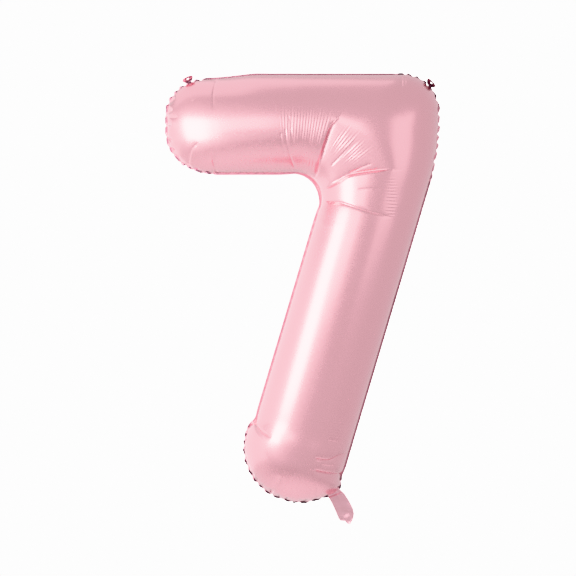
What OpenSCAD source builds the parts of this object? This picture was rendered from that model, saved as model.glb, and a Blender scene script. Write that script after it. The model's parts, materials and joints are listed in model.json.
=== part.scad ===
// Foil number balloon: the digit seven, blown up tight.
// Two sheets of metallised film are welded round their edge. The weld lies in the plane y = 0.
// Z points up, X to the right as seen from the front, and -Y towards the viewer.
// The outline is worked out in the elbow frame, whose origin is where the axes of arm and leg cross.

/* [Figure] */
// Width of the inflated arm and leg, seam to seam
tube_w = 195; // [180:1:205]
// Length of the arm's axis, from the elbow to the start of its round end
arm_len = 350; // [330:1:420]
// Length of the leg's axis, from the elbow to the start of its round end
leg_len = 683; // [640:1:720]
// Lean of the leg from the vertical, in degrees
leg_lean = 16.6; // [12:0.1:20]
// Share of the extra width at the elbow that shows as extra depth
elbow_swell = 0.25; // [0:0.05:0.5]
// How far each side of the leg swells out above its round end
foot_swell = 5; // [0:0.5:8]
// Distance from the elbow to the middle of that swelling
foot_at = 628; // [560:2:660]
// Length over which the swelling dies away on each side
foot_spread = 85; // [50:5:120]

/* [Corners] */
// Length of the arm's round end
arm_cap_len = 106; // [75:1:115]
// Exponent of the arm's round end, where 2 is an ellipse and more is squarer
arm_cap_power = 2.3; // [2:0.1:2.8]
// How far the arm's top edge sags near its round end
arm_sag = 7.5; // [0:0.5:10]
// Distance from the elbow to the middle of that sag
arm_sag_at = 365; // [340:5:400]
// Length over which the sag dies away on each side
arm_sag_spread = 100; // [60:5:120]
// Length of the leg's round end
leg_cap_len = 97; // [85:1:100]
// Exponent of the leg's round end
leg_cap_power = 2.1; // [2:0.1:2.4]
// Exponent of both ends in depth
depth_power = 2.4; // [2:0.1:3]
// Distance from the elbow to the right-hand edge of the shoulder
shoulder_x = 85.6; // [82:0.2:90]
// Radius of the top right corner
corner_r = 72; // [40:1:80]
// Radius of the long curve from the shoulder into the leg
shoulder_r = 460; // [420:5:520]
// Radius in the crotch between arm and leg
crotch_r = 50; // [36:1:56]

/* [Film] */
// Thickness of the foil laminate
foil_t = 0.08; // [0.06:0.01:0.12]
// Thickness of the clear film of the valve
film_t = 0.06; // [0.04:0.01:0.08]
// Width of the welded margin
seal_w = 4; // [3:0.5:6]
// How far the puckers of the margin stand out at the ends
pucker = 1.2; // [0:0.2:2]

/* [Hang tabs] */
// Width of a tab
tab_w = 22; // [18:1:26]
// Distance from the fold line to the hole
tab_reach = 7; // [6:0.5:10]
// Radius of the hole
hole_r = 2.5; // [2:0.25:3.5]
// Lean of the tabs towards the front, in degrees
tab_tilt = 55; // [0:5:60]
// Position of the left tab along the arm's round end
left_tab_at = 60; // [50:1:68]
// Bearing of the right tab on its corner, in degrees from the vertical
right_tab_bearing = 46; // [36:1:50]

/* [Neck] */
// Length of the filling neck beyond its fold line
neck_len = 70; // [60:1:75]
// Width of the neck
neck_w = 36; // [32:1:40]
// Lean of the neck from the vertical, in degrees
neck_lean = 27; // [24:1:30]
// Position of the fold line down the leg's round end
neck_down = 58; // [56:1:60]
// Position of the fold line across the leg
neck_across = 92; // [90:1:94]
// How far each ply of the neck bulges
neck_bulge = 1.2; // [0.8:0.1:1.4]
// Width of the gas channel
channel_w = 26; // [22:1:28]

/* [Valve] */
// Width of the valve film inside the figure
flap_w = 22; // [18:1:24]
// Length of the loose valve flaps
flap_len = 65; // [50:1:75]

/* [Hidden] */
$fn = 72;

// Sections along the figure, and facets across each one.
cap_steps = 12;
arm_steps = 6;
fan_top_steps = 7;
fan_corner_steps = 6;
fan_shoulder_steps = 4;
fan_leg_steps = 4;
fan_steps = fan_top_steps + fan_corner_steps + fan_shoulder_steps + fan_leg_steps;
leg_steps = 16;
across = 24;

r = tube_w / 2;
// Unit vectors of the leg, as x and z: down it, and to its right.
down = [-sin(leg_lean), -cos(leg_lean)];
right = [cos(leg_lean), -sin(leg_lean)];
// Distance from the elbow, down either axis, to where the crotch begins.
fan_start = (r + crotch_r) * (1 + sin(leg_lean)) / cos(leg_lean);
crotch_centre = [-fan_start, -r - crotch_r];
corner_centre = [shoulder_x - corner_r, r - corner_r];
shoulder_centre = [
    shoulder_x - shoulder_r,
    ((shoulder_x - shoulder_r) * cos(leg_lean) + shoulder_r - r) / sin(leg_lean)
];

function leg_point(s, q) = s * down + q * right;
function mix(a, b, t) = a + (b - a) * t;
function rounded(t, n) = pow(max(0, 1 - pow(t, n)), 1 / n);

function sag(x) = arm_sag * pow(cos(90 * min(1, abs(x + arm_sag_at) / arm_sag_spread)), 2);

// The outline at inset e. Each section is [outer point, inner point, half depth].
function arm_cap(e) = [
    for (i = [cap_steps - 1 : -1 : 1])
        let (t = sin(90 * i / cap_steps), round = rounded(t, arm_cap_power),
             x = -arm_len - (arm_cap_len - e) * t)
            [[x, (r - e - sag(x)) * round], [x, (e - r) * round], (r - e) * rounded(t, depth_power)]
];
function arm(e) = [
    for (i = [0 : arm_steps - 1])
        let (x = mix(-arm_len, -fan_start, i / arm_steps)) [[x, r - e - sag(x)], [x, e - r], r - e]
];
function fan_outer(e) = concat(
    [for (i = [0 : fan_top_steps - 1])
        mix([-fan_start, r - e], [corner_centre.x, r - e], i / fan_top_steps)],
    [for (i = [0 : fan_corner_steps - 1]) let (a = 90 * i / (fan_corner_steps - 1))
        corner_centre + (corner_r - e) * [sin(a), cos(a)]],
    [for (i = [0 : fan_shoulder_steps - 1]) let (a = leg_lean * i / (fan_shoulder_steps - 1))
        shoulder_centre + (shoulder_r - e) * [cos(a), -sin(a)]],
    [for (i = [1 : fan_leg_steps])
        mix(shoulder_centre + (shoulder_r - e) * right, leg_point(fan_start, r - e), i / fan_leg_steps)]
);
function fan(e) = let (outer = fan_outer(e), last = len(outer) - 1) [
    for (i = [0 : last])
        let (a = (90 + leg_lean) * i / last,
             inner = crotch_centre + (crotch_r + e) * [sin(a), cos(a)],
             half = norm(outer[i] - inner) / 2)
            [outer[i], inner, r - e + elbow_swell * (half - r + e)]
];
function leg_r(s, e) = r - e + foot_swell * pow(cos(90 * min(1, abs(s - foot_at) / foot_spread)), 2);
function leg(e) = [
    for (i = [1 : leg_steps])
        let (s = mix(fan_start, leg_len, i / leg_steps), q = leg_r(s, e))
            [leg_point(s, q), leg_point(s, -q), q]
];
function leg_cap(e) = [
    for (i = [1 : cap_steps - 1])
        let (t = sin(90 * i / cap_steps), s = leg_len + (leg_cap_len - e) * t, w = leg_r(s, e),
             q = w * rounded(t, leg_cap_power))
            [leg_point(s, q), leg_point(s, -q), w * rounded(t, depth_power)]
];
function sections(e) = concat(arm_cap(e), arm(e), fan(e), leg(e), leg_cap(e));
function arm_tip(e) = [-arm_len - arm_cap_len + e, 0];
function leg_tip(e) = leg_point(leg_len + leg_cap_len - e, 0);
function outline(e) = let (s = sections(e), last = len(s) - 1) concat(
    [arm_tip(e)], [for (v = s) v[0]], [leg_tip(e)], [for (i = [last : -1 : 0]) s[i][1]]
);

// The neck's own frame: along is down the neck and across is its fold line.
neck_along = [sin(neck_lean), -cos(neck_lean)];
neck_across_dir = [cos(neck_lean), sin(neck_lean)];
neck_root = leg_point(leg_len + neck_down, neck_across);
// The mouth is where the neck's axis meets the seam.
mouth_back = 13.5;
mouth_w = channel_w + 6;
mouth_centre = neck_root - mouth_back * neck_along;
ply_half = neck_bulge + film_t + foil_t;
neck_gap = 0.4;
collar_gap = ply_half + 0.3;
throat_in = 20;

// The left tab's seat on the arm's round end, where n is its outward normal.
left_share = left_tab_at / arm_cap_len;
left_top = r - sag(-arm_len - left_tab_at);
left_seat = [-arm_len - left_tab_at, left_top * rounded(left_share, arm_cap_power)];
left_slope = [
    -pow(left_share, arm_cap_power - 1) / arm_cap_len,
    pow(left_seat.y / left_top, arm_cap_power - 1) / left_top
];
left_normal = left_slope / norm(left_slope);
right_normal = [sin(right_tab_bearing), cos(right_tab_bearing)];
right_seat = corner_centre + corner_r * right_normal;
tab_gap = 1.2;
tab_stand_off = seal_w + pucker + tab_gap;
left_fold = left_seat + tab_stand_off * left_normal;
right_fold = right_seat + tab_stand_off * right_normal;

// The box round everything in the seam plane gives the origin.
neck_tip = neck_root + neck_len * neck_along;
low_z = min(neck_tip.y - 2, leg_tip(-seal_w).y);
top_z = r + seal_w;
low_x = -arm_len - arm_cap_len - seal_w;
high_x = shoulder_x + seal_w;
centre = [(low_x + high_x) / 2, (low_z + top_z) / 2];

// How far the rim of a panel stands off the seam plane, which opens the mouth into the neck.
function mouth_lift(p) = neck_bulge * max(0, 1 - pow(norm(p - mouth_centre) / (mouth_w / 2), 2));
function skin_point(s, j) =
    let (a = 180 * j / across, p = (s[0] + s[1]) / 2 + (s[0] - s[1]) / 2 * cos(a))
        [p.x, -max(s[2] * sin(a), mouth_lift(p)), p.y];
function skin(e) = concat(
    [[arm_tip(e).x, 0, arm_tip(e).y]],
    [for (s = sections(e)) for (j = [0 : across]) skin_point(s, j)],
    [[leg_tip(e).x, 0, leg_tip(e).y]]
);

// The skin's triangles, for rows of points between two tips; base is the first point's index.
function at(base, i, j) = base + 1 + i * (across + 1) + j;
function skin_faces(base, rows) = let (tip = base + 1 + rows * (across + 1)) concat(
    [for (j = [0 : across - 1]) [base, at(base, 0, j), at(base, 0, j + 1)]],
    [for (i = [0 : rows - 2]) for (j = [0 : across - 1]) each [
        [at(base, i, j), at(base, i + 1, j), at(base, i + 1, j + 1)],
        [at(base, i, j), at(base, i + 1, j + 1), at(base, i, j + 1)]
    ]],
    [for (j = [0 : across - 1]) [tip, at(base, rows - 1, j + 1), at(base, rows - 1, j)]]
);
function rim(base, rows) = concat(
    [base], [for (i = [0 : rows - 1]) at(base, i, 0)], [base + 1 + rows * (across + 1)],
    [for (i = [rows - 1 : -1 : 0]) at(base, i, across)]
);
function flipped(faces) = [for (f = faces) [f[2], f[1], f[0]]];
function rim_faces(a, b) = [
    for (i = [0 : len(a) - 1]) let (k = (i + 1) % len(a)) each [
        [a[i], b[i], b[k]],
        [a[i], b[k], a[k]]
    ]
];

module film_shell() {
    outside = skin(0);
    inside = skin(foil_t);
    rows = len(sections(0));
    polyhedron(
        points = concat(outside, inside),
        faces = concat(
            skin_faces(0, rows), flipped(skin_faces(len(outside), rows)),
            rim_faces(rim(0, rows), rim(len(outside), rows))
        )
    );
}

// Stands a drawing of the seam plane up, t thick on each side of y = 0.
module stand_up(t) {
    translate([0, t, 0])
        rotate([90, 0, 0])
            linear_extrude(height = 2 * t)
                children();
}

// Puts children drawn in the neck's frame, as x across, y in depth and z down the neck, in place.
module in_neck(s) {
    p = neck_root + s * neck_along;
    translate([p.x, 0, p.y])
        rotate([0, 180 - neck_lean, 0])
            mirror([1, 0, 0])
                children();
}

// Half of the neck's section: a flat margin on each side of a shallow arch.
function arch(u) = abs(u) < channel_w / 2 ? neck_bulge * (1 + cos(360 * u / channel_w)) / 2 : 0;
module ply_section() {
    half = neck_w / 2;
    steps = 36;
    us = [for (i = [0 : steps]) mix(-half, half, i / steps)];
    polygon(concat(
        [for (u = us) [u, -film_t - arch(u)]],
        [for (i = [steps : -1 : 0]) [us[i], -film_t - foil_t - arch(us[i])]]
    ));
}

// The neck's outline, x across and y down it: narrow at the root, with a small lobe at the left
// of its open end and a large one at the right.
module neck_outline() {
    root_half = neck_w / 2 - 3;
    half = neck_w / 2;
    polygon([
        [-root_half, neck_gap], [root_half, neck_gap], [half, 14], [half, neck_len - 16],
        [half - 1, neck_len - 11], [-6, neck_len - 17], [2 - half, neck_len - 18],
        [-half, neck_len - 22], [-half, 14]
    ]);
    translate([5, neck_len - 12])
        circle(r = 12);
    translate([6 - half, neck_len - 21])
        circle(r = 6);
}

module neck_ply() {
    in_neck(0)
        intersection() {
            linear_extrude(height = neck_len)
                ply_section();
            rotate([90, 0, 0])
                mirror([0, 0, 1])
                    translate([0, 0, -neck_w])
                        linear_extrude(height = 2 * neck_w)
                            neck_outline();
        }
}

module valve_sleeve() {
    sleeve_len = neck_len - 24;
    in_neck(neck_gap + 0.3)
        translate([-neck_w / 2 + 3.5, -film_t, 0])
            cube([neck_w - 7, film_t, sleeve_len]);
}

module valve_flap() {
    in_neck(-throat_in - 0.5 - flap_len)
        translate([-flap_w / 2, -film_t, 0])
            cube([flap_w, film_t, flap_len]);
}

module hang_tab(fold, normal) {
    bearing = atan2(normal.x, normal.y);
    translate([fold.x, 0, fold.y])
        rotate([0, bearing, 0])
            rotate([tab_tilt, 0, 0])
                difference() {
                    stand_up(foil_t)
                        intersection() {
                            translate([0, tab_reach])
                                circle(d = tab_w);
                            translate([-tab_w, 0])
                                square(2 * tab_w);
                        }
                    translate([0, 0, tab_reach])
                        rotate([90, 0, 0])
                            cylinder(r = hole_r, h = 4 * foil_t, center = true);
                }
}

module placed() {
    translate([-centre.x, 0, -centre.y])
        children();
}

module front_panel() {
    color("pink")
        placed()
            film_shell();
}

module back_panel() {
    color("lightpink")
        placed()
            mirror([0, 1, 0])
                film_shell();
}

module edge_seal() {
    calm = outline(-seal_w);
    proud = outline(-seal_w - pucker);
    color("palevioletred")
        placed()
            difference() {
                stand_up(foil_t)
                    polygon([for (i = [0 : len(calm) - 1]) i % 2 == 0 ? calm[i] : proud[i]]);
                stand_up(4 * foil_t)
                    polygon(outline(0));
                in_neck(-mouth_back)
                    translate([-mouth_w / 2 - 1, -1, -15])
                        cube([mouth_w + 2, 2, 30]);
            }
}

module left_hang_tab() {
    color("palevioletred")
        placed()
            hang_tab(left_fold, left_normal);
}

module right_hang_tab() {
    color("palevioletred")
        placed()
            hang_tab(right_fold, right_normal);
}

// The short flared base of the neck, a flat tube from the seam to the fold line.
module neck_collar() {
    root_half = neck_w / 2 - 3;
    color("lightpink")
        placed()
            difference() {
                in_neck(-mouth_back - 6)
                    linear_extrude(height = mouth_back + 6 - collar_gap)
                        translate([-root_half, -ply_half])
                            square([2 * root_half, 2 * ply_half]);
                in_neck(-mouth_back - 7)
                    translate([-channel_w / 2, foil_t - ply_half, 0])
                        cube([channel_w, 2 * (ply_half - foil_t), mouth_back + 8]);
                stand_up(2 * ply_half)
                    polygon(outline(0));
            }
}

module neck_front_ply() {
    color("pink")
        placed()
            neck_ply();
}

module neck_back_ply() {
    color("lightpink")
        placed()
            mirror([0, 1, 0])
                neck_ply();
}

module valve_front_sleeve() {
    color("whitesmoke")
        placed()
            valve_sleeve();
}

module valve_back_sleeve() {
    color("whitesmoke")
        placed()
            mirror([0, 1, 0])
                valve_sleeve();
}

// Both films where they pass through the mouth into the figure.
module valve_throat() {
    color("whitesmoke")
        placed()
            for (y = [-film_t, 0])
                in_neck(-throat_in)
                    translate([-flap_w / 2, y, 0])
                        cube([flap_w, film_t, throat_in - collar_gap]);
}

module valve_front_flap() {
    color("whitesmoke")
        placed()
            valve_flap();
}

module valve_back_flap() {
    color("whitesmoke")
        placed()
            mirror([0, 1, 0])
                valve_flap();
}

front_panel();
back_panel();
edge_seal();
left_hang_tab();
right_hang_tab();
neck_collar();
neck_front_ply();
neck_back_ply();
valve_front_sleeve();
valve_back_sleeve();
valve_throat();
valve_front_flap();
valve_back_flap();
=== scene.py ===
"""Looks for the foil number balloon: film relaxed under gas pressure, its welded edge, hang tabs
and filling neck, and a plain studio. Lengths are in metres and angles in radians, except where a
comment says otherwise. Points in a plane are x and z, and y is depth, the front being negative."""

import json
import math

import bpy
import numpy as np
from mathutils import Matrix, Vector
from mathutils.bvhtree import BVHTree
from mathutils.geometry import barycentric_transform, delaunay_2d_cdt


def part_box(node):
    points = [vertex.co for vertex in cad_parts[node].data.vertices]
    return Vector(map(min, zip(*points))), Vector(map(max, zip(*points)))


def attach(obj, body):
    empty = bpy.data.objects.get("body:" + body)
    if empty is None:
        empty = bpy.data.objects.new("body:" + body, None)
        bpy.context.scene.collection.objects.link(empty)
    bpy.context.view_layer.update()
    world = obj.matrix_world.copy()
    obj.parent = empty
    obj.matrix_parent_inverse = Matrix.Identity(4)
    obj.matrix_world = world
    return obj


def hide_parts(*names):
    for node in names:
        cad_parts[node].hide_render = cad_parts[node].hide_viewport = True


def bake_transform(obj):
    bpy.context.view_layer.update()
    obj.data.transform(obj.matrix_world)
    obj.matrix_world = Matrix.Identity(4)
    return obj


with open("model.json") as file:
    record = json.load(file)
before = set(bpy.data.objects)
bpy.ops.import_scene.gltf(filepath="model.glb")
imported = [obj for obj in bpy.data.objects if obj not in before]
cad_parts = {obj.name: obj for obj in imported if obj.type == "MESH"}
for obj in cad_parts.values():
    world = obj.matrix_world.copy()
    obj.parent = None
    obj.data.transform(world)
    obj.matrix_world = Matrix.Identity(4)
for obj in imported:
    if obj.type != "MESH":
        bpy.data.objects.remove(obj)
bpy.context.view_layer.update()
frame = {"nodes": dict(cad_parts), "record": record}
hinges = {joint["name"]: joint for joint in frame["record"]["behaviour"]["joints"]}
FRONT = np.array([0, -1, 0])

# ---------------------------------------------------------------- the figure's outline
LEAN = math.radians(16.6)  # of the leg, from the vertical
DOWN = np.array([-math.sin(LEAN), -math.cos(LEAN)])  # down the leg, as x and z
RIGHT = np.array([math.cos(LEAN), -math.sin(LEAN)])  # to the leg's right

# Of the arm and leg, r is half their width. Each runs straight for arm or leg, measured from the
# elbow, where their axes cross, and ends in a rounded cap. The higher a cap's power, the squarer it is.
# The elbow has a corner at the top and a long shoulder below it on the outside, and a crotch inside.
# This is the seam as it is when blown up:
BLOWN = dict(
    r=0.0975, arm=0.350, arm_cap=0.106, arm_power=2.3, leg=0.683, leg_cap=0.097, left_power=1.9,
    right_power=2.2, shoulder_x=0.0856, corner_r=0.072, shoulder_r=0.460, crotch_r=0.050,
    sag=0.0075, left_swell=0.0085, right_swell=0.0115,
)
# And this is the seam on the flat film, where the triangles are laid out:
FLAT = dict(
    r=0.153, arm=0.350, arm_cap=0.170, arm_power=2.6, leg=0.683, leg_cap=0.156, left_power=2.2,
    right_power=2.3, shoulder_x=0.140, corner_r=0.130, shoulder_r=0.460, crotch_r=0.008,
    sag=0.0, left_swell=0.008, right_swell=0.008,
)
LEG_DEPTH_POWER = 2.4  # how square the leg's end is in depth
ARM_DEPTH_POWER = 2.6  # and the arm's
ARM_DEPTH_FROM = 0.130  # where the arm's depth starts to fall off, well before its width does
ELBOW_SWELL = 0.25  # share of the elbow's extra width that shows as depth
SAG_AT, SAG_SPREAD = 0.365, 0.100  # where the arm's top edge sags, and how far to either side
STEP_FROM, STEP_LENGTH = 0.640, 0.028  # where the leg's left side steps out, above its end
SWELL_AT, SWELL_SPREAD = 0.735, 0.036  # where its right side bulges, beside the neck
CORNER_POINTS, SHOULDER_POINTS = 40, 20
CAP_CUTS, ARM_CUTS, FAN_CUTS, LEG_CUTS = 40, 30, 50, 60  # cuts across each stretch of the figure
CUT_POINTS = 25  # across each cut

# The elbow's place in the frame, from the CAD model's own box.
_, panel_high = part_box("front_panel")
ELBOW = np.array([panel_high[0] - BLOWN["shoulder_x"], panel_high[2] - BLOWN["r"]])


def ease(t):
    """A smooth rise from 0 to 1 as t does."""
    t = np.clip(t, 0, 1)
    return t * t * (3 - 2 * t)


def rounded(t, power):
    """A cap's half width, from 1 at its root, where t is 0, to 0 at its tip."""
    return max(0.0, 1 - t**power) ** (1 / power)


def hump(x, centre, spread):
    """1 at the centre, falling smoothly to 0 at that distance on either side."""
    return math.cos(math.pi / 2 * min(1, abs(x - centre) / spread)) ** 2


def resample(points, count):
    """count points at even steps along an open line."""
    steps = np.linalg.norm(np.diff(points, axis=0), axis=1)
    along = np.concatenate([[0], np.cumsum(steps)])
    t = np.linspace(0, along[-1], count)
    return np.stack([np.interp(t, along, points[:, 0]), np.interp(t, along, points[:, 1])], 1)


def outer_bend(f, start):
    """The outside of the elbow: along the top, round the corner, and down the shoulder."""
    corner = np.array([f["shoulder_x"] - f["corner_r"], f["r"] - f["corner_r"]])
    shoulder_x = f["shoulder_x"] - f["shoulder_r"]
    shoulder_z = (shoulder_x * math.cos(LEAN) + f["shoulder_r"] - f["r"]) / math.sin(LEAN)
    shoulder = np.array([shoulder_x, shoulder_z])
    points = [np.array([-start, f["r"]])]
    for a in np.linspace(0, math.pi / 2, CORNER_POINTS):
        points.append(corner + f["corner_r"] * np.array([math.sin(a), math.cos(a)]))
    for a in np.linspace(0, LEAN, SHOULDER_POINTS)[1:]:
        points.append(shoulder + f["shoulder_r"] * np.array([math.cos(a), -math.sin(a)]))
    points.append(start * DOWN + f["r"] * RIGHT)
    return resample(np.array(points), FAN_CUTS)


def sections(f):
    """Cuts across the figure from the arm's end to the leg's: outer point, inner point, half depth."""
    r = f["r"]
    start = (r + f["crotch_r"]) * (1 + math.sin(LEAN)) / math.cos(LEAN)
    tip_x = -f["arm"] - f["arm_cap"]

    def arm_depth(x):
        t = (ARM_DEPTH_FROM + x) / (ARM_DEPTH_FROM + tip_x)
        return r * rounded(min(1, max(0, t)), ARM_DEPTH_POWER)

    def arm_top(x):
        return r - f["sag"] * hump(x, -SAG_AT, SAG_SPREAD)

    rows = [((tip_x, 0), (tip_x, 0), 0)]
    for i in range(CAP_CUTS - 1, 0, -1):
        t = math.sin(math.pi / 2 * i / CAP_CUTS)
        x, share = -f["arm"] - f["arm_cap"] * t, rounded(t, f["arm_power"])
        rows.append(((x, arm_top(x) * share), (x, -r * share), arm_depth(x)))
    for x in np.linspace(-f["arm"], -start, ARM_CUTS)[:-1]:
        rows.append(((x, arm_top(x)), (x, -r), arm_depth(x)))
    centre = np.array([-start, -r - f["crotch_r"]])
    for i, outer in enumerate(outer_bend(f, start)):
        a = (math.pi / 2 + LEAN) * i / (FAN_CUTS - 1)
        inner = centre + f["crotch_r"] * np.array([math.sin(a), math.cos(a)])
        half = np.linalg.norm(outer - inner) / 2
        rows.append((outer, inner, r + ELBOW_SWELL * (half - r)))

    def leg_sides(s):
        left = r + f["left_swell"] * ease((s - STEP_FROM) / STEP_LENGTH)
        return left, r + f["right_swell"] * hump(s, SWELL_AT, SWELL_SPREAD)

    for s in np.linspace(start, f["leg"], LEG_CUTS)[1:]:
        left, right = leg_sides(s)
        rows.append((s * DOWN + right * RIGHT, s * DOWN - left * RIGHT, (left + r) / 2))
    for i in range(1, CAP_CUTS):
        t = math.sin(math.pi / 2 * i / CAP_CUTS)
        s = f["leg"] + f["leg_cap"] * t
        left, right = leg_sides(s)
        depth = (left + r) / 2 * rounded(t, LEG_DEPTH_POWER)
        left, right = left * rounded(t, f["left_power"]), right * rounded(t, f["right_power"])
        rows.append((s * DOWN + right * RIGHT, s * DOWN - left * RIGHT, depth))
    tip = (f["leg"] + f["leg_cap"]) * DOWN
    rows.append((tip, tip, 0))
    return tuple(np.array([row[k] for row in rows], dtype=float) for k in range(3))


# ---------------------------------------------------------------- the flat film's triangles
STEP = 0.0038  # between points near the seam and at the elbow; twice that elsewhere
BAND = 0.026  # width of the fine strip along the seam
FINE_CENTRE = np.array([-0.105, -0.092])  # of the fine oval at the elbow
FINE_SIZE = np.array([0.152, 0.135])  # half its width and height
SEAM_GAP = 0.55  # the least distance of the film's own points from the seam, in steps
MARGIN = (0.0019, 0.0038)  # the weld's two rows of points, outwards from the seam
SLICE = 4000  # points that are compared with the whole seam at a time, to save memory


def seam_line(f):
    """The outline as a closed loop of even steps, clockwise from the arm's end."""
    outer, inner, _ = sections(f)
    loop = np.vstack([outer, inner[-2:0:-1], outer[:1]])
    length = np.linalg.norm(np.diff(loop, axis=0), axis=1).sum()
    return resample(loop, int(round(length / STEP)) + 1)[:-1]


def seam_directions(loop, reach=1):
    """Unit vectors along the seam and out of it, at each of its points."""
    along = np.roll(loop, -reach, axis=0) - np.roll(loop, reach, axis=0)
    along /= np.linalg.norm(along, axis=1)[:, None]
    return along, np.stack([-along[:, 1], along[:, 0]], 1)


def strip(last, new):
    """Triangles between two rows of points that run round the seam."""
    after_last, after_new = np.roll(last, -1), np.roll(new, -1)
    return [np.stack([last, new, after_new], 1), np.stack([last, after_new, after_last], 1)]


def inside_and_distance(points, loop):
    """For each point, whether it is inside the loop and how far it is from it."""
    a, b = loop, np.roll(loop, -1, axis=0)
    d = b - a
    rise = np.where(b[:, 1] == a[:, 1], 1e-12, b[:, 1] - a[:, 1])
    inside, distance = np.zeros(len(points), bool), np.zeros(len(points))
    for k in range(0, len(points), SLICE):
        q = points[k : k + SLICE, None, :]
        t = np.clip(((q - a) * d).sum(2) / (d * d).sum(1), 0, 1)
        gap = q - a - t[..., None] * d
        distance[k : k + SLICE] = np.sqrt((gap * gap).sum(2)).min(1)
        spans = (a[:, 1] > q[..., 1]) != (b[:, 1] > q[..., 1])
        crossing = (b[:, 0] - a[:, 0]) * (q[..., 1] - a[:, 1]) / rise + a[:, 0]
        inside[k : k + SLICE] = (spans & (q[..., 0] < crossing)).sum(1) % 2 == 1
    return inside, distance


def lattice(loop):
    """Points of a triangular lattice inside the loop, thinned out away from the seam."""
    low, high = loop.min(0), loop.max(0)
    rise = STEP * math.sqrt(3) / 2
    columns, rows = int((high[0] - low[0]) / STEP) + 3, int((high[1] - low[1]) / rise) + 3
    j, i = (g.ravel() for g in np.mgrid[0:rows, 0:columns])
    points = np.stack([low[0] - STEP + (i + 0.5 * (j % 2)) * STEP, low[1] - rise + j * rise], 1)
    coarse = (j % 2 == 0) & ((i + j // 2 % 2) % 2 == 0)
    inside, distance = inside_and_distance(points, loop)
    patch = (((points - FINE_CENTRE) / FINE_SIZE) ** 2).sum(1) < 1
    return points[inside & (distance > SEAM_GAP * STEP) & ((distance < BAND) | patch | coarse)]


class Net:
    """Both sheets and the weld margin as one set of flat triangles. Seam points come first and are
    shared, then the front's own, the back's own, and the margin's rows."""

    def __init__(self):
        self.loop = seam_line(FLAT)
        own = lattice(self.loop)
        seam, sheet = len(self.loop), len(self.loop) + len(own)
        points = np.vstack([self.loop, own])
        rim = [(k, (k + 1) % seam) for k in range(seam)]
        _, _, faces, origin, _, _ = delaunay_2d_cdt([Vector(p) for p in points], rim, [], 1, 1e-7)
        first = [o[0] for o in origin]
        tris = np.array([[first[k] for k in face] for face in faces])
        a, b, c = points[tris[:, 0]], points[tris[:, 1]], points[tris[:, 2]]
        turn = (b[:, 0] - a[:, 0]) * (c[:, 1] - a[:, 1]) - (b[:, 1] - a[:, 1]) * (c[:, 0] - a[:, 0])
        tris[turn < 0] = tris[turn < 0][:, ::-1]
        self.seam, self.sheet, self.own = seam, sheet, len(own)
        self.front = tris
        self.back = np.where(tris >= seam, tris + len(own), tris)[:, ::-1]
        self.along, out = seam_directions(self.loop)
        flat, strips, last = [points, own], [], np.arange(seam)
        for row, width in enumerate(MARGIN):
            new = self.margin_start(row) + np.arange(seam)
            strips += strip(last, new)
            flat.append(self.loop + width * out)
            last = new
        self.margin = np.vstack(strips)
        self.flat = np.vstack(flat)
        self.size = len(self.flat)
        # The nearest seam point to each point, and the distance to it, negative in the margin.
        self.near = np.zeros(self.size, int)
        self.distance = np.zeros(self.size)
        for k in range(0, sheet, SLICE):
            gap = np.linalg.norm(points[k : k + SLICE, None] - self.loop[None], axis=2)
            self.near[k : k + len(gap)] = gap.argmin(1)
            self.distance[k : k + len(gap)] = gap.min(1)
        self.near[sheet : sheet + len(own)] = self.near[seam:sheet]
        self.distance[sheet : sheet + len(own)] = self.distance[seam:sheet]
        for row, width in enumerate(MARGIN):
            start = self.margin_start(row)
            self.near[start : start + seam] = np.arange(seam)
            self.distance[start : start + seam] = -width

    def margin_start(self, row):
        return self.sheet + self.own + row * self.seam

    def blown_up(self):
        """Where each point lies on the smooth blown-up figure."""
        across = np.linspace(0, 1, CUT_POINTS)
        flat_outer, flat_inner, _ = sections(FLAT)
        outer, inner, depth = sections(BLOWN)
        flat = flat_outer[:, None] + (flat_inner - flat_outer)[:, None] * across[None, :, None]
        turn = math.pi * across
        plane = (outer + inner)[:, None] / 2 + (outer - inner)[:, None] / 2 * np.cos(turn)[None, :, None]
        bulge = depth[:, None] * np.sin(turn)[None, :]
        round_ = np.stack([plane[..., 0], -bulge, plane[..., 1]], -1)
        rows, columns = flat.shape[:2]
        flat_points = [Vector((p[0], p[1], 0)) for p in flat.reshape(-1, 2)]
        round_points = [Vector(p) for p in round_.reshape(-1, 3)]
        tris = []
        for i in range(rows - 1):
            for j in range(columns - 1):
                a, b = i * columns + j, (i + 1) * columns + j
                if i > 0:
                    tris.append((a, b, a + 1))
                if i < rows - 2:
                    tris.append((b, b + 1, a + 1))
        finder = BVHTree.FromPolygons(flat_points, tris)
        place = np.zeros((self.size, 3))
        for k in range(self.sheet):
            spot, _, found, _ = finder.find_nearest(Vector((*self.flat[k], 0)))
            a, b, c = tris[found]
            place[k] = barycentric_transform(
                spot, flat_points[a], flat_points[b], flat_points[c],
                round_points[a], round_points[b], round_points[c],
            )
        place[: self.seam, 1] = 0
        place[self.sheet : self.sheet + self.own] = place[self.seam : self.sheet] * [1, -1, 1]
        seam = place[: self.seam, [0, 2]]
        _, out = seam_directions(seam)
        for row, width in enumerate(MARGIN):
            start = self.margin_start(row)
            place[start : start + self.seam, [0, 2]] = seam + width * out
        return place


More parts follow.
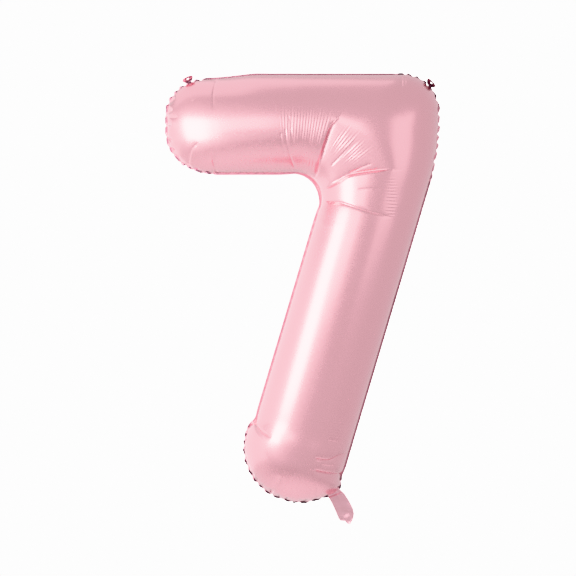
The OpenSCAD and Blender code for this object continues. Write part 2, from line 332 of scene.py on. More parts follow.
# ---------------------------------------------------------------- inflating the film
# Pressure and the stiffnesses are relative: only their ratios matter.
PRESSURE = 1000.0
STIFFNESS = 1.0e4  # of an edge in tension
CRUSH = 0.3  # share of that stiffness in compression, before the film buckles
BENDING = 0.02  # share of it that resists a bend
HOLD = 1.0e6  # how firmly each square patch of film keeps its place on the smooth figure
PATCH = 0.03  # its side
DAMPING = 0.96  # share of a point's speed that is left after a round
ROUNDS, QUICK_ROUNDS = 420, 40
PUCKER_LENGTH = 0.0205  # of one scallop along the weld
SLACK_CAPS = 0.085  # share of extra film along the seam of the round ends
SLACK_STRAIGHT = 0.010  # along the straight stretches
SLACK_SHOULDER = 0.040  # and more down the shoulder, between these heights
SHOULDER = (-0.105, 0.035)
SLACK_REACH = 0.016  # how far in from the seam the extra film goes
SHARPEST_BEND = 14  # of the seam, per metre, that still adds film
INWARD_BEND = -2  # where the seam bends in more than this, it has none
# The first ripple's size: of the film's in and out, of its side to side, and of the weld's.
RIPPLE, RIPPLE_ASIDE, RIPPLE_MARGIN = 0.6, 0.5, 0.8
RIPPLE_SEED, SHADE_SEED = 7, 11


def smooth_loop(values, rounds):
    """Averages values round the seam with their neighbours, that many times."""
    for _ in range(rounds):
        values = (np.roll(values, 1) + values + np.roll(values, -1)) / 3
    return values


def gather(indices, values, size):
    """Sums rows of values at the points that indices name."""
    return np.stack([np.bincount(indices, column, minlength=size) for column in values.T], 1)


def sides_of(tris):
    return np.vstack([tris[:, [0, 1]], tris[:, [1, 2]], tris[:, [2, 0]]])


def corner_sums(tris, values, size):
    """Sums each triangle's row of values at its three corners."""
    return sum(gather(tris[:, k], values, size) for k in range(3))


def facings(points, tris):
    """Each triangle's normal, twice its area long."""
    p0, p1, p2 = (points[tris[:, k]] for k in range(3))
    return np.cross(p1 - p0, p2 - p0)


def on_shoulder(seam):
    """Which seam points are on the elbow's outer shoulder."""
    return (seam[:, 0] > 0.04) & (seam[:, 1] > SHOULDER[0]) & (seam[:, 1] < SHOULDER[1])


def seam_slack(net, smooth):
    """The share of extra film along the seam, which follows how sharply the seam curves outwards."""
    seam = smooth[: net.seam][:, [0, 2]]
    along = np.roll(seam, -1, axis=0) - np.roll(seam, 1, axis=0)
    angle = np.arctan2(along[:, 1], along[:, 0])
    step = np.linalg.norm(np.roll(seam, -1, axis=0) - seam, axis=1)
    turn = (np.roll(angle, 1) - np.roll(angle, -1) + math.pi) % (2 * math.pi) - math.pi
    bend = smooth_loop(turn / (step + np.roll(step, 1)), 30)
    slack = np.clip(bend, 0, SHARPEST_BEND) * BLOWN["r"] * SLACK_CAPS + SLACK_STRAIGHT
    slack[on_shoulder(seam)] += SLACK_SHOULDER
    return smooth_loop(np.where(bend < INWARD_BEND, 0, slack), 20), step


def inflate(net, smooth, rounds):
    """Lets the film settle under pressure. Extra film at the weld buckles into scallops. Also gives
    the share of extra film and the scallops' phase at each seam point."""
    size = net.size
    edges = np.sort(sides_of(np.vstack([net.front, net.back, net.margin])), axis=1)
    a, b = np.unique(edges, axis=0).T.copy()
    slack, step = seam_slack(net, smooth)
    heading = net.flat[b] - net.flat[a]
    heading /= np.maximum(np.linalg.norm(heading, axis=1), 1e-9)[:, None]
    lined_up = (heading * net.along[net.near[a]]).sum(1) ** 2
    inward = np.clip((net.distance[a] + net.distance[b]) / 2, 0, None)
    fade = np.exp(-((inward / SLACK_REACH) ** 1.3))
    rest = np.linalg.norm(smooth[b] - smooth[a], axis=1) * (1 + slack[net.near[a]] * fade * lined_up)

    skin = np.vstack([net.front, net.back])
    facing = facings(smooth, skin)
    normal = corner_sums(skin, facing, size)
    area = np.linalg.norm(facing, axis=1) / 6
    held = corner_sums(skin, area[:, None], size)[:, 0] * HOLD
    normal /= np.maximum(np.linalg.norm(normal, axis=1), 1e-12)[:, None]
    cell = np.floor((net.flat - net.flat.min(0)) / PATCH).astype(int)
    behind = np.zeros(size, int)
    behind[net.sheet : net.sheet + net.own] = 1
    _, patch = np.unique(cell[:, 0] * 1000 + cell[:, 1] + behind * 10**6, return_inverse=True)
    members = np.bincount(patch)

    # A first ripple along the weld sets the length of the scallops.
    uneven = smooth_loop(np.random.default_rng(RIPPLE_SEED).normal(size=net.seam), 25)
    phase = 2 * math.pi * np.cumsum(step * (1 + slack)) / PUCKER_LENGTH + 3 * uneven / np.abs(uneven).max()
    height = PUCKER_LENGTH / math.pi * np.sqrt(slack) * 0.7
    reach = np.exp(-np.clip(net.distance, 0, None) / SLACK_REACH)
    place = smooth.copy()
    place += normal * (RIPPLE * np.sin(phase) * height)[net.near][:, None] * reach[:, None]
    place[:, 1] += (RIPPLE_ASIDE * np.cos(phase) * height)[net.near] * reach
    outer = net.distance < 0
    place[outer, 1] += (RIPPLE_MARGIN * np.cos(phase) * height)[net.near[outer]]

    degree = (np.bincount(a, minlength=size) + np.bincount(b, minlength=size)).astype(float)
    free = np.ones(size)
    free[: net.seam] = 0.0  # the film folds freely at the weld
    mass = (STIFFNESS * (degree * 0.55 + BENDING * 8) + 0.5 * held)[:, None]
    speed = np.zeros_like(place)
    for _ in range(rounds):
        gap = place[b] - place[a]
        length = np.sqrt((gap * gap).sum(1))
        stretch = length - rest
        pull = STIFFNESS * np.where(stretch > 0, stretch, CRUSH * stretch) / length
        pulls = gap * pull[:, None]
        force = gather(a, pulls, size) - gather(b, pulls, size)
        force += corner_sums(skin, facings(place, skin) * (PRESSURE / 6), size)
        bump = (gather(a, gap, size) - gather(b, gap, size)) / degree[:, None] * free[:, None]
        bump /= degree[:, None]
        slope = bump[a] - bump[b]
        force -= BENDING * STIFFNESS * (gather(b, slope, size) - gather(a, slope, size))
        drift = place - smooth
        shared = gather(patch, drift, len(members)) / members[:, None]
        force -= held[:, None] * shared[patch]
        speed = (speed + force / mass) * DAMPING
        place = place + speed
    return place, slack, phase


net = Net()
smooth = net.blown_up()
film, slack, phase = inflate(net, smooth, ROUNDS)
to_frame = np.array([ELBOW[0], 0, ELBOW[1]])


# ---------------------------------------------------------------- meshes
def subdivide(points, tris):
    """One round of Loop subdivision. points may hold more columns than x, y and z."""
    size = len(points)
    pairs = np.sort(sides_of(tris), axis=1)
    ends, which, count = np.unique(pairs, axis=0, return_inverse=True, return_counts=True)
    which = which.ravel()
    opposite = np.concatenate([tris[:, 2], tris[:, 0], tris[:, 1]])
    a, b = ends.T
    rim = count == 1
    across = gather(which, points[opposite], len(ends))
    middle = points[a] + points[b]
    new = np.where(rim[:, None], middle / 2, middle * 0.375 + across * 0.125)
    degree = np.bincount(a, minlength=size) + np.bincount(b, minlength=size)
    around = gather(a, points[b], size) + gather(b, points[a], size)
    beta = np.where(degree == 3, 3 / 16, 3 / (8 * np.maximum(degree, 1)))[:, None]
    moved = points * (1 - beta * degree[:, None]) + around * beta
    on_rim = np.zeros(size, bool)
    on_rim[a[rim]] = on_rim[b[rim]] = True
    next_to = gather(a[rim], points[b[rim]], size) + gather(b[rim], points[a[rim]], size)
    moved[on_rim] = points[on_rim] * 0.75 + next_to[on_rim] * 0.125
    e0, e1, e2 = (size + which[k * len(tris) : (k + 1) * len(tris)] for k in range(3))
    t0, t1, t2 = tris.T
    fine = np.vstack([np.stack(t, 1) for t in ((t0, e0, e2), (t1, e1, e0), (t2, e2, e1), (e0, e1, e2))])
    return np.vstack([moved, new]), fine


def refine(points, tris, wanted):
    """Splits the wanted triangles in four, and their neighbours so that no gap opens."""
    ends, which = np.unique(np.sort(sides_of(tris), axis=1), axis=0, return_inverse=True)
    which = which.ravel().reshape(3, -1).T
    split = np.zeros(len(ends), bool)
    split[which[wanted].ravel()] = True
    number = np.cumsum(split) - 1 + len(points)
    new = points[ends[split, 0]] / 2 + points[ends[split, 1]] / 2
    cut = split[which]
    made = [tris[~cut.any(1)]]
    for turn in range(3):
        order = [turn, (turn + 1) % 3, (turn + 2) % 3]
        v, e, c = tris[:, order], number[which[:, order]], cut[:, order]
        one = c[:, 0] & ~c[:, 1] & ~c[:, 2]
        v1, e1 = v[one], e[one]
        made += [np.stack([v1[:, 0], e1[:, 0], v1[:, 2]], 1), np.stack([e1[:, 0], v1[:, 1], v1[:, 2]], 1)]
        two = c[:, 0] & c[:, 1] & ~c[:, 2]
        v2, e2 = v[two], e[two]
        made += [
            np.stack([e2[:, 0], v2[:, 1], e2[:, 1]], 1),
            np.stack([v2[:, 0], e2[:, 0], e2[:, 1]], 1),
            np.stack([v2[:, 0], e2[:, 1], v2[:, 2]], 1),
        ]
    every = cut.all(1)
    v, e = tris[every], number[which[every]]
    made += [
        np.stack([v[:, 0], e[:, 0], e[:, 2]], 1),
        np.stack([v[:, 1], e[:, 1], e[:, 0]], 1),
        np.stack([v[:, 2], e[:, 2], e[:, 1]], 1),
        e,
    ]
    return np.vstack([points, new]), np.vstack(made)


def vertex_normals(points, tris):
    normal = corner_sums(tris, facings(points, tris), len(points))
    return normal / np.maximum(np.linalg.norm(normal, axis=1), 1e-15)[:, None]


# ---------------------------------------------------------------- creases and wrinkles
# All in millimetres from the elbow, x to the right and z up, as they lie on the blown-up film.
MM = 0.001
FINEST = 1.4 * MM  # triangles with creases or wrinkles on them are split until they are this small
FINE_ROUNDS = 3
BACK_SHIFT = 2.0  # turns the fine wrinkles' phase, so that the back's differ from the front's
SEAM_HOLD = 5 * MM  # creases fade out this close to the weld, which holds the film
# The weld starts to crinkle at one share of extra film, and is fully crinkled at another.
CRINKLE_FROM, CRINKLE_FULL = 0.02, 0.06
TUCK_LESS, TUCK_SHARPNESS, TUCK_PHASE = 3.0, 7.0, 0.6  # how rarely and how suddenly it tucks, and when
LEAN_LEAST, LEAN_MOST = math.radians(10), math.radians(70)  # where it is tucked, without crinkles and with
# A crease is its line, then its groove's depth and width, then its flanks' depth and width.
UPPER_CREASE = [(-162, -110), (-154, -82), (-144, -48), (-132, -14), (-119, 3)]
LOWER_CREASE = [(-145, -133), (-111, -117), (-91, -108), (-42, -101), (-10, -99)]
CREASES = [
    (UPPER_CREASE, 3.0, 1.5, 1.8, 9),
    (LOWER_CREASE, 2.4, 1.5, 1.6, 9),
    ([(-142, -154), (-111, -160), (-74, -173), (-44, -183), (-8, -190)], 1.8, 1.6, 1.2, 8),
    ([(-136, -158), (-112, -163), (-90, -168)], 0.7, 1.4, 0.0, 5),
    ([(-220, -13), (-215, -50), (-207, -78), (-196, -99)], 1.0, 1.4, 0.2, 6),
    ([(-211, 8), (-208, -20), (-203, -52)], 0.5, 1.4, 0.1, 5),
    ([(-229, -22), (-226, -45), (-219, -70)], 0.5, 1.4, 0.2, 5),
    ([(-132, -90), (-105, -64), (-76, -37)], 0.5, 1.4, 0.2, 6),
    ([(-80, -136), (-54, -134), (-28, -134)], 0.5, 1.4, 0.3, 5),
    ([(-97, -104), (-70, -92), (-48, -84)], 0.5, 1.4, 0.4, 5),
    # the arm's end
    ([(-356, 88), (-360, 72), (-362, 48), (-361, 18)], 0.8, 1.5, 0.7, 7),
    ([(-411, 68), (-405, 50), (-402, 40)], 0.4, 1.4, 0.3, 6),
    ([(-454, 12), (-442, 9), (-430, 10)], 0.5, 1.5, 0.4, 6),
    ([(-413, -84), (-405, -56), (-390, -40)], 0.7, 1.5, 0.7, 7),
    ([(-355, -101), (-362, -80), (-365, -50)], 0.9, 1.5, 0.8, 7),
    # the elbow's outer corner
    ([(12, 92), (11, 80), (10, 64)], 0.7, 1.4, 0.4, 6),
    ([(18, 92), (17, 80), (16, 70)], 0.5, 1.4, 0.3, 5),
    ([(84, 19), (68, 22), (50, 24)], 0.8, 1.5, 0.6, 7),
    # the leg's end
    ([(-286, -588), (-270, -609), (-246, -622)], 2.2, 1.6, 1.8, 8),
    ([(-247, -736), (-238, -715), (-228, -694)], 1.3, 1.5, 1.4, 8),
    ([(-166, -660), (-136, -666), (-118, -661), (-92, -652)], 2.0, 1.5, 1.6, 6),
    ([(-166, -684), (-136, -692), (-112, -697), (-100, -696)], 2.0, 1.5, 1.6, 6),
    ([(-150, -674), (-134, -678), (-122, -678)], 1.0, 1.4, 0.7, 5),
    ([(-138, -626), (-122, -630), (-108, -630)], 0.9, 1.4, 0.6, 6),
    ([(-172, -742), (-168, -728), (-167, -716)], 0.5, 1.4, 0.4, 5),
    ([(-158, -738), (-156, -726), (-158, -714)], 0.5, 1.4, 0.4, 5),
    ([(-212, -748), (-210, -734), (-206, -722)], 0.5, 1.4, 0.4, 5),
    ([(-204, -748), (-202, -736), (-200, -726)], 0.4, 1.4, 0.3, 5),
]
CREASE_STARTS, CREASE_ENDS = 0.12, 0.25  # shares of a crease's length over which it deepens and fades
DEEP = 2  # a groove deeper than this has a wider strip of fine triangles
# Between the two deep creases the film is stretched flat. The facet slopes up from its foot at the
# crotch, in the direction of its rise. Its edges are soft over its edge's width.
FACET_CENTRE, FACET_REACH = (-80, -60), (90, 90)
FACET_FOOT, FACET_RISE = (-153, -121), (0.683, 0.730)
FACET_HEIGHT, FACET_SLOPE, FACET_EDGE = 56, 0.42, 3.5
FACET_BLEND = 4.0  # how softly it meets the round film
LINE_POINTS = 48
# A fan of fine wrinkles is its centre, the wrinkles' length in degrees of turn from upright, their
# number per degree, the reach from the centre where they are strongest, its spread, and height.
FANS = [
    ((-210, -285), (-5, 17), 0.87, 276, 28, 0.26),
    ((-206, -168), (31, 57), 0.52, 162, 20, 0.22),
    ((-190, -285), (3, 10), 0.62, 200, 12, 0.20),
    ((-1900, -150), (88.7, 91.3), 5.4, 1888, 8, 0.17),
    ((-384, -400), (-4, 4), 1.2, 335, 7, 0.12),
    ((-1240, -430), (98.4, 100.2), 3.4, 1135, 14, 0.05),
]


def smooth_line(points):
    """A smooth curve through a few points, by cubic steps."""
    p = np.array(points, dtype=float)
    p = np.vstack([2 * p[0] - p[1], p, 2 * p[-1] - p[-2]])
    made = []
    for t in np.linspace(0, len(points) - 1 - 1e-9, LINE_POINTS):
        k, u = int(t), t - int(t)
        a, b, c, d = p[k : k + 4]
        square, cube = a - 2.5 * b + 2 * c - d / 2, (d - a + 3 * (b - c)) / 2
        made.append(b + u * (c - a) / 2 + u * u * square + u**3 * cube)
    return np.array(made)


def beside(curve, where):
    """Distance from a line, the place along it from 0 to 1, and the side: 1 to the left, -1 right."""
    a, d = curve[:-1], np.diff(curve, axis=0)
    q = where[:, None] - a
    t = np.clip((q * d).sum(2) / (d * d).sum(1), 0, 1)
    rest = q - t[..., None] * d
    gap = np.linalg.norm(rest, axis=2)
    best = gap.argmin(1)
    pick = (np.arange(len(where)), best)
    side = np.sign(d[best, 0] * q[pick][:, 1] - d[best, 1] * q[pick][:, 0])
    return gap[pick], (best + t[pick]) / len(a), side


def facet(where, height):
    """How far the flat facet lies below film that stands that high over the seam's plane."""
    near = np.flatnonzero((np.abs(where - FACET_CENTRE) < FACET_REACH).all(1))
    lower = np.zeros(len(where))
    spot = where[near]
    off, _, side = beside(smooth_line(UPPER_CREASE), spot)
    right = ease((-off * side - 0.3) / FACET_EDGE)
    off, _, side = beside(smooth_line(LOWER_CREASE), spot)
    above = ease((off * side - 0.3) / FACET_EDGE)
    plane = FACET_HEIGHT + FACET_SLOPE * ((spot - FACET_FOOT) * FACET_RISE).sum(1)
    drop = height[near] - plane
    softened = FACET_BLEND * np.log1p(np.exp(drop / FACET_BLEND))
    lower[near] = right * above * np.where(drop > 10 * FACET_BLEND, drop, softened)
    return lower


def relief(where, shift):
    """The creases' and wrinkles' height at points in x and z, and whether fine detail is there."""
    height, detail = np.zeros(len(where)), np.zeros(len(where))
    for line, groove, groove_w, flank, flank_w in CREASES:
        curve = smooth_line(line)
        low, high = curve.min(0) - 6 * flank_w, curve.max(0) + 6 * flank_w
        near = np.flatnonzero(((where > low) & (where < high)).all(1))
        off, along, _ = beside(curve, where[near])
        fade = ease(along / CREASE_STARTS) * ease((1 - along) / CREASE_ENDS)
        off_groove = np.sqrt(off**2 + 0.25) - 0.5
        off_flank = np.sqrt(off**2 + 1.0) - 1.0
        height[near] -= fade * groove * np.exp(-((off_groove / groove_w) ** 1.2))
        height[near] -= fade * flank * np.exp(-off_flank / flank_w)
        fine_width = 5.0 if groove > DEEP else 3.0
        detail[near] = np.maximum(detail[near], (off < fine_width) & (fade > 0.02))
    for centre, (first, last), rate, reach, spread, size in FANS:
        q = where - np.array(centre)
        turn = np.degrees(np.arctan2(q[:, 0], q[:, 1]))
        far = np.linalg.norm(q, axis=1)
        inside = ease((turn - first) / (last - first) * 6) * ease((last - turn) / (last - first) * 6)
        reach_here = reach + spread * 0.35 * np.sin(turn * rate * 2.1 + shift)
        weight = inside * np.exp(-np.abs((far - reach_here) / spread) ** 2.5)
        sway = 0.9 * np.sin(far / 31 + turn * rate * 0.5 + shift)
        height += size * weight * np.cos(2 * math.pi * rate * turn + sway)
        detail = np.maximum(detail, weight > 0.15)
    return height, detail > 0


def mesh_object(name, points, faces, material, smooth_shading=True):
    mesh = bpy.data.meshes.new(name)
    mesh.from_pydata([tuple(p) for p in points], [], [tuple(int(k) for k in f) for f in faces])
    mesh.update()
    if smooth_shading:
        mesh.shade_smooth()
    mesh.materials.append(material)
    made = bpy.data.objects.new(name, mesh)
    bpy.context.collection.objects.link(made)
    return made


def only_used(points, tris):
    """The points that the triangles use, and the triangles in terms of those."""
    used, tris = np.unique(tris, return_inverse=True)
    return points[used], tris.reshape(-1, 3)


def paint(piece, shades):
    """Gives the piece's points their place on the weld's colour ramp, from 0 to 1, whose dark end is
    painted shade.
    """
    piece.data.attributes.new("shade", "FLOAT", "POINT").data.foreach_set("value", shades)


# ---------------------------------------------------------------- materials
def node_material(name):
    material = bpy.data.materials.new(name)
    material.use_nodes = True
    return material, material.node_tree, material.node_tree.nodes["Principled BSDF"]


def noise(tree, scale, detail=2):
    made = tree.nodes.new("ShaderNodeTexNoise")
    made.inputs["Scale"].default_value = scale
    made.inputs["Detail"].default_value = detail
    return made.outputs["Fac"]


def ramp(tree, source, start, end):
    made = tree.nodes.new("ShaderNodeValToRGB")
    made.color_ramp.elements[0].color = (*start, 1)
    made.color_ramp.elements[1].color = (*end, 1)
    tree.links.new(source, made.inputs["Fac"])
    return made


def mapped(tree, source, low, high):
    """Maps a value from 0 to 1 onto the range from low to high."""
    made = tree.nodes.new("ShaderNodeMapRange")
    made.inputs["To Min"].default_value = low
    made.inputs["To Max"].default_value = high
    tree.links.new(source, made.inputs["Value"])
    return made.outputs["Result"]


def foil_material(name, light, dark, roughness, metallic):
    """Metallised film with a pastel lacquer: faint clouding in its colour and gloss."""
    material, tree, shader = node_material(name)
    shader.inputs["Metallic"].default_value = metallic
    shader.inputs["Coat Weight"].default_value = 0.25
    shader.inputs["Coat Roughness"].default_value = 0.12
    place = tree.nodes.new("ShaderNodeTexCoord").outputs["Object"]
    clouds, grain = noise(tree, scale=9, detail=4), noise(tree, scale=140, detail=3)
    for source in (clouds, grain):
        tree.links.new(place, source.node.inputs["Vector"])
    colour = tree.nodes.new("ShaderNodeMix")
    colour.data_type = "RGBA"
    colour.inputs["A"].default_value = (*dark, 1)
    colour.inputs["B"].default_value = (*light, 1)
    tree.links.new(clouds, colour.inputs["Factor"])
    tree.links.new(colour.outputs["Result"], shader.inputs["Base Color"])
    gloss = mapped(tree, grain, roughness - 0.03, roughness + 0.03)
    tree.links.new(gloss, shader.inputs["Roughness"])
    bump = tree.nodes.new("ShaderNodeBump")
    bump.inputs["Strength"].default_value = 0.02
    bump.inputs["Distance"].default_value = 0.001
    tree.links.new(grain, bump.inputs["Height"])
    tree.links.new(bump.outputs["Normal"], shader.inputs["Normal"])
    return material


def weld_material():
    """Two welded films, rose where they run straight. Where the crinkled weld lies open it is painted near
    black as shade in its tight folds, and where it is tucked in it is film pink, by the shade that is
    painted on the mesh."""
    material = foil_material("pink_weld", (1.0, 0.98, 0.99), (0.80, 0.78, 0.79), 0.24, 0.6)
    tree = material.node_tree
    shade = tree.nodes.new("ShaderNodeAttribute")
    shade.attribute_name = "shade"
    # The ramp runs from film pink through the weld's rose to near-black painted shade.
    darkness = ramp(tree, shade.outputs["Fac"], (0.960, 0.540, 0.620), (0.110, 0.042, 0.064))
    darkness.color_ramp.elements.new(0.5).color = (0.600, 0.270, 0.335, 1)
    blend = tree.nodes.new("ShaderNodeMix")
    blend.data_type = "RGBA"
    blend.blend_type = "MULTIPLY"
    blend.inputs["Factor"].default_value = 0.8
    base = tree.nodes["Principled BSDF"].inputs["Base Color"]
    tree.links.new(darkness.outputs["Color"], blend.inputs["A"])
    tree.links.new(base.links[0].from_socket, blend.inputs["B"])
    tree.links.new(blend.outputs["Result"], base)
    return material


def clear_material():
    """Thin clear film, a little milky."""
    material, tree, shader = node_material("clear_film")
    shader.inputs["Transmission Weight"].default_value = 0.85
    shader.inputs["Roughness"].default_value = 0.18
    shader.inputs["IOR"].default_value = 1.3
    tint = ramp(tree, noise(tree, scale=60), (0.86, 0.84, 0.86), (0.96, 0.95, 0.96))
    tree.links.new(tint.outputs["Color"], shader.inputs["Base Color"])
    return material


foil = foil_material("pink_foil", (0.965, 0.534, 0.606), (0.945, 0.509, 0.580), 0.27, 1.0)
neck_foil = foil_material("pink_neck_foil", (0.985, 0.600, 0.675), (0.880, 0.470, 0.545), 0.32, 1.0)
weld = weld_material()
clear = clear_material()

# ---------------------------------------------------------------- the film's pieces
def foil_sheet(name, tris, node, shift):
    """One of the two panels, with its creases and wrinkles pressed into the relaxed film."""
    points, faces = subdivide(*only_used(place, tris))
    for _ in range(FINE_ROUNDS):
        _, fine = relief((points - to_frame)[:, [0, 2]] / MM, shift)
        side = np.linalg.norm(points[faces[:, 0]] - points[faces[:, 1]], axis=1)
        points, faces = refine(points, faces, fine[faces].any(1) & (side > FINEST))
    where = (points - to_frame)[:, [0, 2]] / MM
    height, _ = relief(where, shift)
    outwards = np.sign(points[:, 1].mean())
    points[:, 1] -= outwards * facet(where, np.abs(points[:, 1]) / MM) * MM
    held = 1 - np.exp(-((np.abs(points[:, 1]) / SEAM_HOLD) ** 2))
    points = points + vertex_normals(points, faces) * (held * height)[:, None] * MM
    sheet = mesh_object(name, points, faces, foil)
    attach(sheet, "balloon")
    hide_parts(node)
    return sheet


def weld_margin():
    """The welded edge. It leans to and fro with the scallops: out in the open, then tucked in behind the
    film.
    Where it is crinkled it has painted shade, near black where it lies open and film pink where it is
    tucked, but down the shoulder it has no shade and is painted light instead."""
    crinkle = np.clip((slack - CRINKLE_FROM) / (CRINKLE_FULL - CRINKLE_FROM), 0, 1)
    tucked = 1 / (1 + np.exp(TUCK_LESS - TUCK_SHARPNESS * np.cos(phase + TUCK_PHASE)))
    lean = ((LEAN_MOST - LEAN_LEAST) * crinkle + LEAN_LEAST) * tucked
    seam = place[: net.seam]
    _, out = seam_directions(seam[:, [0, 2]], reach=2)
    out_x, out_z = (smooth_loop(column, 2) for column in out.T)
    out = np.stack([out_x, 0 * out_x, out_z], 1)
    rows = [seam]
    for width in MARGIN:
        rows.append(seam + width * (np.cos(lean)[:, None] * out - np.sin(lean)[:, None] * FRONT))
    covered = smooth_loop(on_shoulder(film[: net.seam][:, [0, 2]]).astype(float), 12)
    drift = smooth_loop(np.random.default_rng(SHADE_SEED).normal(size=net.seam), 200)
    shade = 0.53 + 0.13 * drift / np.abs(drift).max()
    # Painted shade: near black where the crinkled weld lies open, film pink where it is tucked in; down
    # the shoulder, painted light instead.
    shade += 0.5 * crinkle * (1 - covered) * (1 - 2 * tucked) - 0.4 * covered
    numbers = np.arange(len(rows) * net.seam).reshape(len(rows), net.seam)
    faces = [tris for last, new in zip(numbers, numbers[1:]) for tris in strip(last, new)]
    points = np.hstack([np.vstack(rows), np.tile(shade, len(rows))[:, None]])
    points, faces = subdivide(points, np.vstack(faces))
    margin = mesh_object("weld_margin", points[:, :3], faces, weld)
    paint(margin, np.clip(points[:, 3], 0, 1))
    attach(margin, "balloon")
    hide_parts("edge_seal")
    return margin


place = film + to_frame
front = foil_sheet("front_foil", net.front, "front_panel", shift=0.0)
back = foil_sheet("back_foil", net.back, "back_panel", shift=BACK_SHIFT)
margin = weld_margin()

# ---------------------------------------------------------------- the hang tabs
TAB_RADIUS, TAB_REACH, HOLE_RADIUS = 0.011, 0.007, 0.0025  # its reach is from its fold to its hole
TAB_LENGTH = TAB_RADIUS + TAB_REACH
TAB_TUCK = 0.0032  # how far its root goes in under the weld
TAB_THICKNESS = 0.0003
TAB_RINGS, TAB_SPOKES, TAB_STEPS = 12, 64, 37
TAB_SHADES = (0.97, 0.54)  # of the weld's ramp: painted shade at the fold, and the tab's rose beyond it


def tab_profile(tilt, curl):
    """How far out and forwards the curled tab is at even steps from its root to its tip."""
    v = np.linspace(0, TAB_LENGTH, TAB_STEPS)
    angle = tilt + curl * (v - TAB_REACH) / TAB_LENGTH
    step = v[1] - v[0]
    halfway = (angle[1:] + angle[:-1]) / 2
    out = np.concatenate([[0], np.cumsum(np.cos(halfway) * step)])
    forward = np.concatenate([[0], np.cumsum(np.sin(halfway) * step)])
    hole_out, hole_forward = np.interp(TAB_REACH, v, out), np.interp(TAB_REACH, v, forward)
    out += TAB_REACH * math.cos(tilt) - hole_out
    forward += TAB_REACH * math.sin(tilt) - hole_forward
    return v, out, forward


def hang_tab(side, tilt, curl, dark):
    """A punched disc of two welded films, its root tucked into the weld. It leans forwards by tilt
    at the hole and by curl more from its root to its tip, and has painted shade up to dark from its fold."""
    hinge = hinges[side + "_tab_fold"]
    root, across = np.array(hinge["pos_m"]), np.array(hinge["axis"])
    outwards = np.array([-across[2], 0, across[0]])
    profile = tab_profile(tilt, curl)
    points, faces, shades = [], [], []
    for ring in range(TAB_RINGS):
        for spoke in range(TAB_SPOKES):
            a = 2 * math.pi * spoke / TAB_SPOKES
            edge = min(TAB_RADIUS, (TAB_REACH + TAB_TUCK) / max(-math.sin(a), 1e-6))
            radius = HOLE_RADIUS + (edge - HOLE_RADIUS) * ring / (TAB_RINGS - 1)
            u, v = radius * math.cos(a), TAB_REACH + radius * math.sin(a)
            out = np.interp(v, profile[0], profile[1]) + min(v, 0)
            forward = np.interp(v, profile[0], profile[2])
            open_part = ring / (TAB_RINGS - 1) * min(1, max(0, v / TAB_REACH))
            forward += 14 * u * u + 0.0005 * open_part * math.sin(3 * a + 0.8)
            points.append(root + u * across + out * outwards + forward * FRONT)
            # Painted shade near the fold, the tab's rose beyond it.
            beyond = float(ease((v - dark) / 0.002))
            shades.append(TAB_SHADES[0] * (1 - beyond) + TAB_SHADES[1] * beyond)
    for ring in range(TAB_RINGS - 1):
        inner, outer = ring * TAB_SPOKES, (ring + 1) * TAB_SPOKES
        for spoke in range(TAB_SPOKES):
            following = (spoke + 1) % TAB_SPOKES
            faces.append((inner + spoke, inner + following, outer + following, outer + spoke))
    tab = mesh_object(side + "_tab_film", points, faces, weld)
    paint(tab, shades)
    thickness = tab.modifiers.new("thickness", "SOLIDIFY")
    thickness.thickness = TAB_THICKNESS
    thickness.offset = 0
    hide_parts(side + "_hang_tab")
    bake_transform(tab)


hang_tab("left", tilt=math.radians(63), curl=math.radians(30), dark=0.002)
hang_tab("right", tilt=math.radians(67), curl=math.radians(36), dark=0.0045)

# ---------------------------------------------------------------- the filling neck
# All in millimetres. The edges say how far across each side is at distances down the neck from the
# weld, and the end says how far down the neck's end is at distances across it.
LEFT_EDGE = [(-20, -13), (0, -14), (8, -13), (18, -12.5), (40, -13.5), (57, -15)]
RIGHT_EDGE = [(-20, 13), (0, 14.5), (13, 19), (30, 20.5), (46, 20.5), (58, 17.5)]
NECK_END = [
    (-16, 51), (-14, 57), (-8, 60.5), (-5.8, 61.5), (-4.2, 68), (0, 70.5), (7, 68), (13, 63.5), (18, 57)
]
END_CENTRE, END_HALF = 1, 17
NECK_MIDDLE = 1.2  # where the neck's centre line is, which a narrower tube keeps
NECK_COLUMNS, NECK_ROWS = 44, 60


def at(table, x):
    """Reads a table of pairs at x, along straight lines between its rows."""
    return float(np.interp(x, [row[0] for row in table], [row[1] for row in table]))


def crumple(u, s):
    """How far both plies of the neck bend forwards, in millimetres."""
    loose = min(1, max(0, (s - 2) / 30))
    root = -1.0 * math.exp(-(((s - 4 - 0.10 * u) / 2.2) ** 2)) + 0.7 * math.exp(-(((s - 9) / 3.5) ** 2))
    broad = 0.8 * math.sin(s / 9.5 + u / 11)
    body = broad + 0.45 * math.sin(u / 3.9 - s / 14 + 1) + 0.45 * math.sin(s / 4.1 - u / 6)
    tip = max(0, (s - 50) / 20)
    return root + loose * body + tip * (2.5 * math.sin(u / 4.2 + 0.7) + 1.2 * math.sin(s / 2.7))


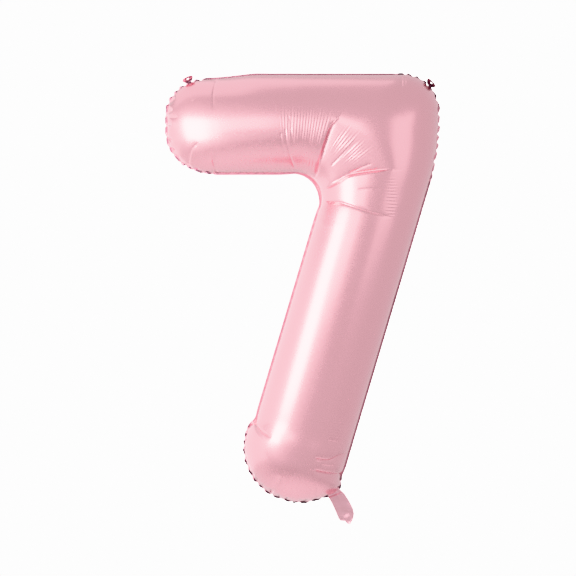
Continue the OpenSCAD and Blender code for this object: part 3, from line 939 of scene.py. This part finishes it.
def neck_tube(name, first, width, shorter, bulge, gap, material):
    """A flattened tube of film that hangs from the mouth, open at its far end. It starts at first,
    has that share of the neck's width, and ends that much above the neck's end."""
    hinge = hinges["neck_fold"]
    root, across = np.array(hinge["pos_m"]), np.array(hinge["axis"])
    down = np.array([across[2], 0, -across[0]])
    points, faces = [], []
    for side in (-1, 1):
        for row in range(NECK_ROWS + 1):
            for column in range(NECK_COLUMNS + 1):
                c = 2 * column / NECK_COLUMNS - 1
                end = at(NECK_END, END_CENTRE + END_HALF * c) - shorter
                s = first + (end - first) * row / NECK_ROWS
                u = (at(LEFT_EDGE, s) * (1 - c) + at(RIGHT_EDGE, s) * (1 + c)) / 2
                u = NECK_MIDDLE + (u - NECK_MIDDLE) * width
                flare = 1 + 0.5 * math.exp(-(((s + 4) / 8) ** 2))
                y = side * (gap + bulge * flare * (1 - c * c) ** 0.7) - crumple(u, s)
                ruck = 0.22 * math.sin(u / 1.7 + side) * math.exp(-((s / 12) ** 2))
                points.append(root + (u * across + s * down + np.array([0, y + side * ruck, 0])) * MM)
    wide, ply = NECK_COLUMNS + 1, (NECK_ROWS + 1) * (NECK_COLUMNS + 1)
    for row in range(NECK_ROWS):
        for column in range(NECK_COLUMNS):
            a = row * wide + column
            faces.append((a, a + wide, a + wide + 1, a + 1))
            faces.append((ply + a, ply + a + 1, ply + a + wide + 1, ply + a + wide))
        left, right = row * wide, row * wide + NECK_COLUMNS
        faces.append((left, ply + left, ply + left + wide, left + wide))
        faces.append((right, right + wide, ply + right + wide, ply + right))
    tube = mesh_object(name, points, faces, material)
    start, end = root - 0.002 * down, root + 0.008 * down
    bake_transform(tube)
    return tube


neck = neck_tube("neck_film", -13, 1.0, 0, bulge=1.3, gap=0.15, material=neck_foil)
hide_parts("neck_collar", "neck_front_ply", "neck_back_ply")
sleeve = neck_tube("valve_sleeve_film", -2, 0.78, 22, bulge=0.6, gap=0.05, material=clear)
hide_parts("valve_front_sleeve", "valve_back_sleeve")
for node in ("valve_throat", "valve_front_flap", "valve_back_flap"):
    carried = frame["nodes"][node]
    carried.data.materials.clear()
    carried.data.materials.append(clear)

# ---------------------------------------------------------------- the studio
DISTANCE = 4.0  # of the camera
VIEW_WIDTH = 1.152  # of what it sees at the balloon
VIEW_CENTRE = Vector((-0.029, 0, 0.022))
FLOOR_Z, FLOOR_RADIUS, FLOOR_SIDES = -1.3, 2.4, 96  # below the view
STUDIO_LIGHT, BACKDROP_LIGHT = 0.73, 4.0  # the studio's brightness on the balloon, and as it is seen

camera_data = bpy.data.cameras.new("camera")
camera_data.lens = camera_data.sensor_width * DISTANCE / VIEW_WIDTH
camera = bpy.data.objects.new("camera", camera_data)
camera.location = VIEW_CENTRE + Vector((0, -DISTANCE, 0))
camera.rotation_euler = (math.pi / 2, 0, 0)
bpy.context.collection.objects.link(camera)
bpy.context.scene.camera = camera


def softbox(name, azimuth, elevation, distance, width, height, radiance):
    """An area light seen from the balloon at those angles, where azimuth 0 is the camera's side."""
    light = bpy.data.lights.new(name, "AREA")
    light.shape = "RECTANGLE"
    light.size, light.size_y = width, height
    light.energy = radiance * math.pi * width * height
    made = bpy.data.objects.new(name, light)
    a, e = math.radians(azimuth), math.radians(elevation)
    towards = Vector((math.sin(a) * math.cos(e), -math.cos(a) * math.cos(e), math.sin(e)))
    made.location = towards * distance
    made.rotation_euler = towards.to_track_quat("Z", "Y").to_euler()
    made.visible_camera = False
    bpy.context.collection.objects.link(made)


softbox("key", -52, 12.5, 0.95, 0.40, 0.55, 44)
softbox("arm_fill", -22, 18, 1.05, 0.46, 0.42, 3.6)
softbox("left_wall", -120, -3, 2.4, 5.5, 2.1, 1.25)
softbox("top_left", -120, 62, 2.4, 2.2, 2.2, 0.5)
softbox("right", 46, 13, 1.65, 0.9, 0.95, 0.7)

plaster, tree, shader = node_material("pale_floor")
shader.inputs["Roughness"].default_value = 0.85
pale = ramp(tree, noise(tree, scale=30), (0.69, 0.68, 0.68), (0.73, 0.72, 0.72))
tree.links.new(pale.outputs["Color"], shader.inputs["Base Color"])
turns = [2 * math.pi * k / FLOOR_SIDES for k in range(FLOOR_SIDES)]
points = [(FLOOR_RADIUS * math.cos(a), FLOOR_RADIUS * math.sin(a), FLOOR_Z) for a in turns]
mesh_object("floor", points, [tuple(range(FLOOR_SIDES))], plaster, smooth_shading=False)

world = bpy.data.worlds.new("studio")
bpy.context.scene.world = world
world.use_nodes = True
tree = world.node_tree
background = tree.nodes["Background"]
background.inputs["Color"].default_value = (1, 1, 1, 1)
seen = tree.nodes.new("ShaderNodeLightPath").outputs["Is Camera Ray"]
tree.links.new(mapped(tree, seen, STUDIO_LIGHT, BACKDROP_LIGHT), background.inputs["Strength"])

bpy.context.scene.view_settings.view_transform = "Khronos PBR Neutral"
